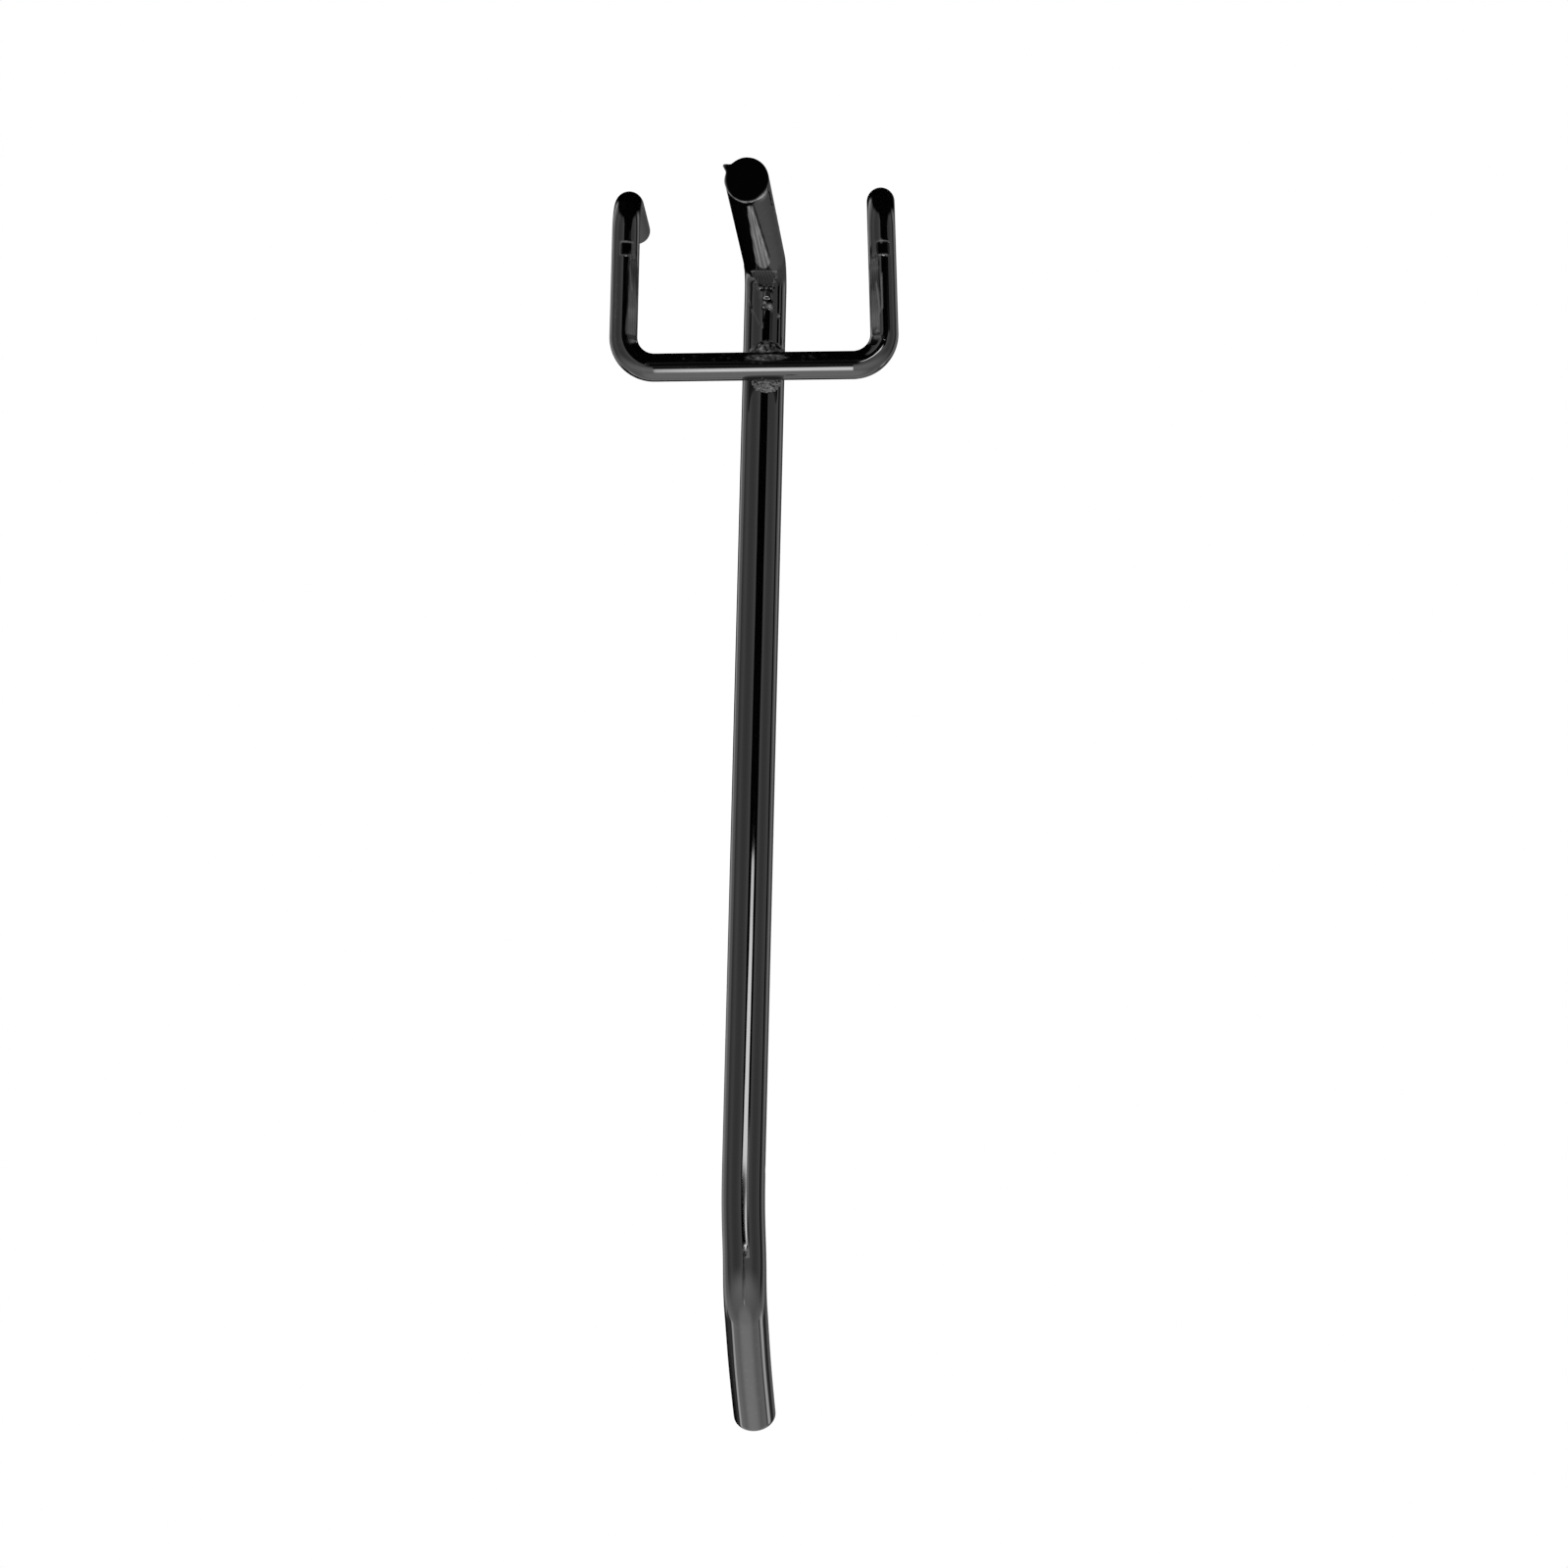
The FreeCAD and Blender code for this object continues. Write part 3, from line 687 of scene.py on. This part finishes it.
def heap(name, middle, halves, peak, roughness, count, seed):
    """A closed heap: halves * sign(d) * |d|**peak over all directions d, roughened by chance bells.

    peak 1 is an ellipsoid, and larger values pinch it towards points along its axes.
    """
    turn = np.linspace(0, 2 * np.pi, HEAP_COLUMNS, endpoint=False)
    polar, azimuth = np.meshgrid(np.linspace(np.pi, 0, HEAP_ROWS), turn, indexing="ij")
    outwards = np.sin(polar)
    ways = np.stack([outwards * np.cos(azimuth), outwards * np.sin(azimuth), np.cos(polar)], axis=-1)
    chance = np.random.default_rng(seed)
    spots = chance.normal(size=(count, 3))
    spots /= np.linalg.norm(spots, axis=1, keepdims=True)
    heights = chance.uniform(-1, 1, count)
    rough = (np.exp(HEAP_GRAIN * (ways @ spots.T - 1)) * heights).sum(-1)
    shape = np.sign(ways) * np.abs(ways) ** np.array(peak) * np.array(halves)
    table = rod_place + rolled @ np.array(middle) + (shape + roughness * rough[..., None] * ways) @ rolled.T
    wear_and_highlight = np.clip(HEAP_RUBBED + HEAP_RUBBED_GRAIN * rough, 0, 1)
    return closed_mesh(name, table, {"straight": table, "wear_and_highlight": wear_and_highlight, "dull": np.zeros_like(rough)})


# %% Both heaps
heaps = [
    heap("weld_heap_behind", middle=(-0.50, 0.95, -3.10), halves=(2.55, 2.55, 1.45), peak=(1.15, 1.2, 1.0),
         roughness=0.06, count=1500, seed=21),
    heap("weld_heap_in_front", middle=(-0.50, -1.55, -2.40), halves=(1.70, 1.35, 0.95), peak=(1.0, 1.0, 1.0),
         roughness=0.075, count=900, seed=22),
]
for piece in heaps:
    print(piece.name, len(piece.data.polygons), "faces")

# %% [markdown]
# ## The coat
#
# A dipped or powder coat in gloss black: what shows is mostly the room mirrored in it. The colour
# underneath is nearly nothing, and the gloss comes from the shader's own reflection, broken by a faint
# waviness. The same material shows the wear, and the highlights and reflection painted on the rod.
# It reads two numbers kept on the points: where the share of wear and painted highlight rises the coat
# turns grey and satin, and where `dull` rises it loses its shine. The waviness follows `straight`, the
# place on the wire as if it were unbent, so it doesn't smear in the bends.

# %% Small helper for node trees
def add_node(tree, kind, inputs=None, **settings):
    """A node with its settings, whose inputs are set from numbers or linked from sockets."""
    made = tree.nodes.new(kind)
    for key, value in settings.items():
        setattr(made, key, value)
    for key, value in (inputs or {}).items():
        if isinstance(value, bpy.types.NodeSocket):
            tree.links.new(value, made.inputs[key])
        else:
            made.inputs[key].default_value = value
    return made


def carried_value(tree, key, output="Fac"):
    """The attribute that closed_mesh kept on the points under this name."""
    return add_node(tree, "ShaderNodeAttribute", attribute_name=key).outputs[output]


def ranged(tree, value, low, high):
    """low where the value is 0, high where it is 1, in proportion between."""
    made = add_node(tree, "ShaderNodeMapRange", {"Value": value, "To Min": low, "To Max": high})
    return made.outputs["Result"]


# %% Gloss black coat
BLACK = (0.0016, 0.0016, 0.0016, 1)
# Grey for wear, which also serves as painted highlight and painted reflection on the rod.
WEAR_AND_HIGHLIGHT_GREY = (0.30, 0.30, 0.30, 1)
SATIN, DULL, SHINE, WAVE_HEIGHT = 0.36, 0.7, 0.5, 0.00005


def coat_material(name, gloss, stretch, grain, depth):
    """Gloss coat: nearly black and faintly wavy; grey and satin where worn and where highlights are painted,
    without shine where dull.
    """
    material = bpy.data.materials.new(name)
    material.use_nodes = True
    tree = material.node_tree
    wear_and_highlight, dull = carried_value(tree, "wear_and_highlight"), carried_value(tree, "dull")
    # The grey mixed in here is wear in some places, and painted highlights and painted reflection in others.
    colour = add_node(tree, "ShaderNodeMix", data_type="RGBA")
    colour.inputs["A"].default_value = BLACK
    colour.inputs["B"].default_value = WEAR_AND_HIGHLIGHT_GREY
    tree.links.new(wear_and_highlight, colour.inputs["Factor"])
    drawn = add_node(tree, "ShaderNodeMapping", {
        "Vector": carried_value(tree, "straight", "Vector"), "Scale": (1, 1, stretch)})
    ripple = add_node(tree, "ShaderNodeTexNoise", {
        "Vector": drawn.outputs["Vector"], "Scale": grain, "Detail": 1.0})
    relief = add_node(tree, "ShaderNodeBump", {
        "Height": ripple.outputs["Fac"], "Strength": depth, "Distance": WAVE_HEIGHT})
    for socket, value in (("Base Color", colour.outputs["Result"]),
                          ("Roughness", ranged(tree, dull, ranged(tree, wear_and_highlight, gloss, SATIN), DULL)),
                          ("Specular IOR Level", ranged(tree, dull, SHINE, 0.0)),
                          ("Normal", relief.outputs["Normal"])):
        tree.links.new(value, tree.nodes["Principled BSDF"].inputs[socket])
    return material


gloss_black = coat_material("gloss_black_coat", gloss=0.03, stretch=0.06, grain=1.6, depth=0.12)
weld_coat = coat_material("coated_weld_metal", gloss=0.2, stretch=1.0, grain=3.0, depth=0.6)

# %% Each piece wears its coat, rides on the hook and stands for its node
WEARS = (
    (hook_rod, "hook_rod", "black_coat", gloss_black), (back_wire, "back_wire", "black_coat", gloss_black),
    *[(piece, "weld_bead", "coated_weld", weld_coat) for piece in heaps],
)
for piece, node_name, slot_name, material in WEARS:
    piece.data.materials.append(material)
    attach(piece, "root")
    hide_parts(node_name)
    print(piece.name, "stands for", node_name)

# %% [markdown]
# ## The room that the gloss mirrors
#
# A black gloss surface has hardly a look of its own, so the room is the light. Lamps and cards could
# stand round the hook, but a round wire mirrors nearly every direction, and each card would get into
# some view. So the room is written into the world's shader, in the hook's own directions: `ahead`
# along the rod, and `around` it, in degrees from straight down towards the right.
#
# It is a plain pale studio. Panels stand all round, with a brighter end wall beyond the hook's tip
# and darkness on the board's side. A dark strip lies over the camera with a long lamp beside it, and
# a small lamp shines before the tip.

# %% Directions of the room
FRONT = rod_way
DOWN = rod_turn @ -Z
RIGHT = -X

world = bpy.data.worlds.new("studio")
bpy.context.scene.world = world
world.use_nodes = True
room = world.node_tree
room.nodes.clear()
looking = add_node(room, "ShaderNodeTexCoord").outputs["Generated"]


def share_of(direction):
    """How far a ray points a given way: the dot product of the two directions."""
    dot = add_node(room, "ShaderNodeVectorMath", {0: looking, 1: tuple(direction)}, operation="DOT_PRODUCT")
    return dot.outputs["Value"]


def maths(operation, *values):
    """One Math node on numbers or sockets."""
    return add_node(room, "ShaderNodeMath", dict(enumerate(values)), operation=operation).outputs["Value"]


ahead, below, right = share_of(FRONT), share_of(DOWN), share_of(RIGHT)
around = maths("DEGREES", maths("ARCTAN2", right, below))

# %% Edges and blends
def times(first, *others):
    """The product of all values."""
    for other in others:
        first = maths("MULTIPLY", first, other)
    return first


def rising(value, low, high):
    """0 at low, 1 at high, smooth between and steady outside."""
    return add_node(room, "ShaderNodeMapRange", {
        "Value": value, "From Min": low, "From Max": high}, interpolation_type="SMOOTHSTEP").outputs["Result"]


def between(value, low, high, soft):
    """1 between two limits, 0 outside them, with smooth edges of width soft."""
    half = soft / 2
    return times(rising(value, low - half, low + half), rising(value, high + half, high - half))


def blend_levels(first, second, share):
    """first where share is 0, second where it is 1."""
    return maths("ADD", times(first, maths("SUBTRACT", 1.0, share)), times(second, share))


# %% Panels round the rod: (angle, brightness)
PANELS = [
    (-180, 0.0), (-149, 0.0), (-143, 0.15), (-137, 1.20), (-126, 1.40), (-117, 0.80), (-103, 1.15),
    (-93, 0.42), (-80, 0.82), (-68, 1.02), (-54, 0.76), (-40, 0.72), (-26, 0.85), (-14, 1.20), (28, 1.3),
    (40, 1.15), (52, 0.78), (68, 0.72), (84, 0.90), (97, 0.95), (103, 0.03), (109, 0.03), (115, 0.75),
    (122, 0.90), (129, 1.40), (134, 1.30), (139, 0.40), (147, 0.25), (154, 0.45), (180, 0.45),
]
PANELS_MOST = 2.0


def ring(stops, largest):
    """A value that depends only on the angle round the rod, read off a ramp of (angle, value)."""
    ramp = add_node(room, "ShaderNodeValToRGB", {"Fac": maths("MULTIPLY_ADD", around, 1 / 360, 0.5)})
    elements = ramp.color_ramp.elements
    while len(elements) < len(stops):
        elements.new(0.5)
    for element, (angle, value) in zip(elements, stops):
        element.position = angle / 360 + 0.5
        element.color = (value / largest,) * 3 + (1,)
    return times(ramp.outputs["Color"], largest)


panels = ring(PANELS, PANELS_MOST)
print("room panels", len(PANELS))

# %% The panels high on the right fade towards the board
FADE_FROM, FADE_ALONG, FADE_LEAST = (148, 154), (-0.30, 0.50), 0.28
faded = maths("MULTIPLY_ADD", rising(ahead, *FADE_ALONG), 1 - FADE_LEAST, FADE_LEAST)
panels = times(panels, blend_levels(1.0, faded, rising(around, *FADE_FROM)))

# %% The end wall beyond the tip: brighter low down and straight ahead, and further off overhead
WALL_LEVEL, WALL_LOW_GAIN, WALL_FAR_GAIN, WALL_FAR = 1.45, 1.6, 1.1, (0.85, 0.99)
OVERHEAD, WALL_STARTS, WALL_STARTS_OVERHEAD = (118, 130), (0.15, 0.65), (0.50, 0.62)
wall = maths("MULTIPLY_ADD", maths("MAXIMUM", below, 0.0), WALL_LOW_GAIN, WALL_LEVEL)
wall = maths("MULTIPLY_ADD", rising(ahead, *WALL_FAR), WALL_FAR_GAIN, wall)
overhead = rising(maths("ABSOLUTE", around), *OVERHEAD)
wall_share = blend_levels(rising(ahead, *WALL_STARTS), rising(ahead, *WALL_STARTS_OVERHEAD), overhead)
level = blend_levels(panels, wall, wall_share)

# %% Darkness on the board's side: (angle, how far back the light reaches)
BOARD_SIDE = [
    (-180, 0.40), (-150, 0.52), (-125, 0.68), (-60, 0.72), (-20, 0.70), (-8, 0.50), (0, 0.28), (48, 0.27),
    (58, 0.50), (70, 0.62), (115, 0.60), (132, 0.50), (150, 0.40), (180, 0.40),
]
BOARD_SIDE_MOST, BOARD_SIDE_SOFT = 1.0, (-0.06, 0.06)
lit = rising(maths("ADD", ahead, ring(BOARD_SIDE, BOARD_SIDE_MOST)), *BOARD_SIDE_SOFT)
level = times(level, lit)

# %% Brighter and darker bars: (angles round the rod, shares along it, gain)
BARS = [
    ((-151, -127), (0.28, 0.545), 0.16), ((-142, -122), (0.56, 0.66), 1.9), ((122, 138), (0.41, 0.555), 2.3),
    ((122, 132), (0.585, 0.64), 0.4), ((135, 151), (0.20, 0.36), 0.35), ((19, 31), (-0.045, -0.014), 2.3),
]
BAR_SOFT_ROUND, BAR_SOFT_ALONG = 2.0, 0.02
for arc, span, gain in BARS:
    bar = times(between(around, *arc, BAR_SOFT_ROUND), between(ahead, *span, BAR_SOFT_ALONG))
    level = times(level, maths("MULTIPLY_ADD", bar, gain - 1.0, 1.0))
print("bars", len(BARS))

# %% Dark strip over the camera: patches (angles, how far ahead), and a thread that runs on from them
STRIP_PATCHES = [((-8.5, 33.0), -0.045), ((-8.5, 19.0), -0.028), ((-7.0, 12.5), -0.010)]
PATCH_SOFT, PATCH_END_SOFT = 3.0, 0.008
LINE_HALF, LINE_SOFT = 0.045, 0.015
THREAD_END, THREAD_BELOW = (0.46, 0.40), (-0.3, -0.2)
middle_line = between(right, -LINE_HALF, LINE_HALF, LINE_SOFT)
strip = times(middle_line, rising(ahead, *THREAD_END), rising(below, *THREAD_BELOW))
for arc, front in STRIP_PATCHES:
    patch = times(between(around, *arc, PATCH_SOFT), rising(ahead, front, front - PATCH_END_SOFT))
    strip = maths("MAXIMUM", strip, patch)
level = times(level, maths("SUBTRACT", 1.0, strip))

# %% A long lamp beside the strip: its left edge slants, and it fades towards the board
LAMP_LEVEL, LAMP_ALONG, LAMP_SOFT = 14.0, (-0.128, -0.0373), 0.004
LAMP_RIGHT_EDGE, LAMP_LEFT_SLANT, LAMP_LEFT_AT, LAMP_LEFT_SOFT = (22.0, 19.5), -107.0, -6.0, (-2.0, 2.0)
LAMP_FADE = (-0.23, -0.085)
from_left = maths("SUBTRACT", around, maths("MULTIPLY_ADD", ahead, LAMP_LEFT_SLANT, LAMP_LEFT_AT))
long_lamp = times(between(ahead, *LAMP_ALONG, LAMP_SOFT), rising(around, *LAMP_RIGHT_EDGE),
                  rising(from_left, *LAMP_LEFT_SOFT), rising(ahead, *LAMP_FADE))
level = maths("MULTIPLY_ADD", long_lamp, LAMP_LEVEL, level)

# %% A small lamp before the tip, brighter on its right
CROSS_LEAST, CROSS_RISE, CROSS_RISE_AT = 3.0, 8.0, (-0.040, -0.008)
CROSS_BACK, CROSS_FRONT, CROSS_BELOW = (0.42, 0.66), (0.92, 0.76), (0.0, 0.2)
cross_level = maths("MULTIPLY_ADD", rising(right, *CROSS_RISE_AT), CROSS_RISE, CROSS_LEAST)
cross_lamp = times(middle_line, rising(ahead, *CROSS_BACK), rising(ahead, *CROSS_FRONT),
                   rising(below, *CROSS_BELOW))
level = maths("MULTIPLY_ADD", cross_lamp, cross_level, level)

# %% The camera itself sees plain white
WHITE = 1.0
seen = add_node(room, "ShaderNodeLightPath").outputs["Is Camera Ray"]
backdrop = add_node(room, "ShaderNodeBackground", {
    "Color": (1, 1, 1, 1), "Strength": blend_levels(level, WHITE, seen)})
add_node(room, "ShaderNodeOutputWorld", {"Surface": backdrop.outputs["Background"]})
print("room nodes", len(room.nodes))

# %% [markdown]
# ## Floor and camera
#
# The hook hangs well above a wide pale floor, which the gloss doesn't mirror, because the room is
# already its whole surroundings. The camera stands below the hook and looks up at its underside, a
# little from the front, as the photograph was taken.

# %% Pale floor
FLOOR_HEIGHT, FLOOR_HALF = -0.6, 40.0
FLOOR_COLOUR, FLOOR_ROUGHNESS = (0.9, 0.9, 0.9, 1), 0.8
floor_mesh = bpy.data.meshes.new("floor")
corners = np.array([[-1, -1, 0], [1, -1, 0], [1, 1, 0], [-1, 1, 0]]) * FLOOR_HALF + [0, 0, FLOOR_HEIGHT]
floor_mesh.from_pydata(corners.tolist(), [], [(0, 1, 2, 3)])
floor = bpy.data.objects.new("floor", floor_mesh)
bpy.context.collection.objects.link(floor)
pale = bpy.data.materials.new("pale_floor")
pale.use_nodes = True
pale.node_tree.nodes["Principled BSDF"].inputs["Base Color"].default_value = FLOOR_COLOUR
pale.node_tree.nodes["Principled BSDF"].inputs["Roughness"].default_value = FLOOR_ROUGHNESS
floor_mesh.materials.append(pale)
floor.visible_glossy = False

# %% Camera at the photograph's place
from mathutils import Matrix

CAMERA_PLACE = (-37.627, -161.699, -383.530)
CAMERA_RIGHT = (-0.996439, 0.030399, 0.078642)
CAMERA_UP = (0.010868, 0.971269, -0.237738)
LENS, SENSOR, CLIP_START = 78.398, 36.0, 0.01
right_way = np.array(CAMERA_RIGHT)
back_way = np.cross(right_way, CAMERA_UP)
up_way = np.cross(back_way, right_way)
pose = np.eye(4)
pose[:3, :3] = np.stack([right_way, up_way, back_way], axis=1)
pose[:3, 3] = np.array(CAMERA_PLACE) * MM
camera_data = bpy.data.cameras.new("camera")
camera_data.lens = LENS
camera_data.sensor_width = SENSOR
camera_data.clip_start = CLIP_START
camera = bpy.data.objects.new("camera", camera_data)
camera.matrix_world = Matrix(pose.tolist())
bpy.context.collection.objects.link(camera)
bpy.context.scene.camera = camera
bpy.context.scene.view_settings.view_transform = "Standard"
print("camera", round(float(np.linalg.norm(CAMERA_PLACE))), "mm from the board's front face")
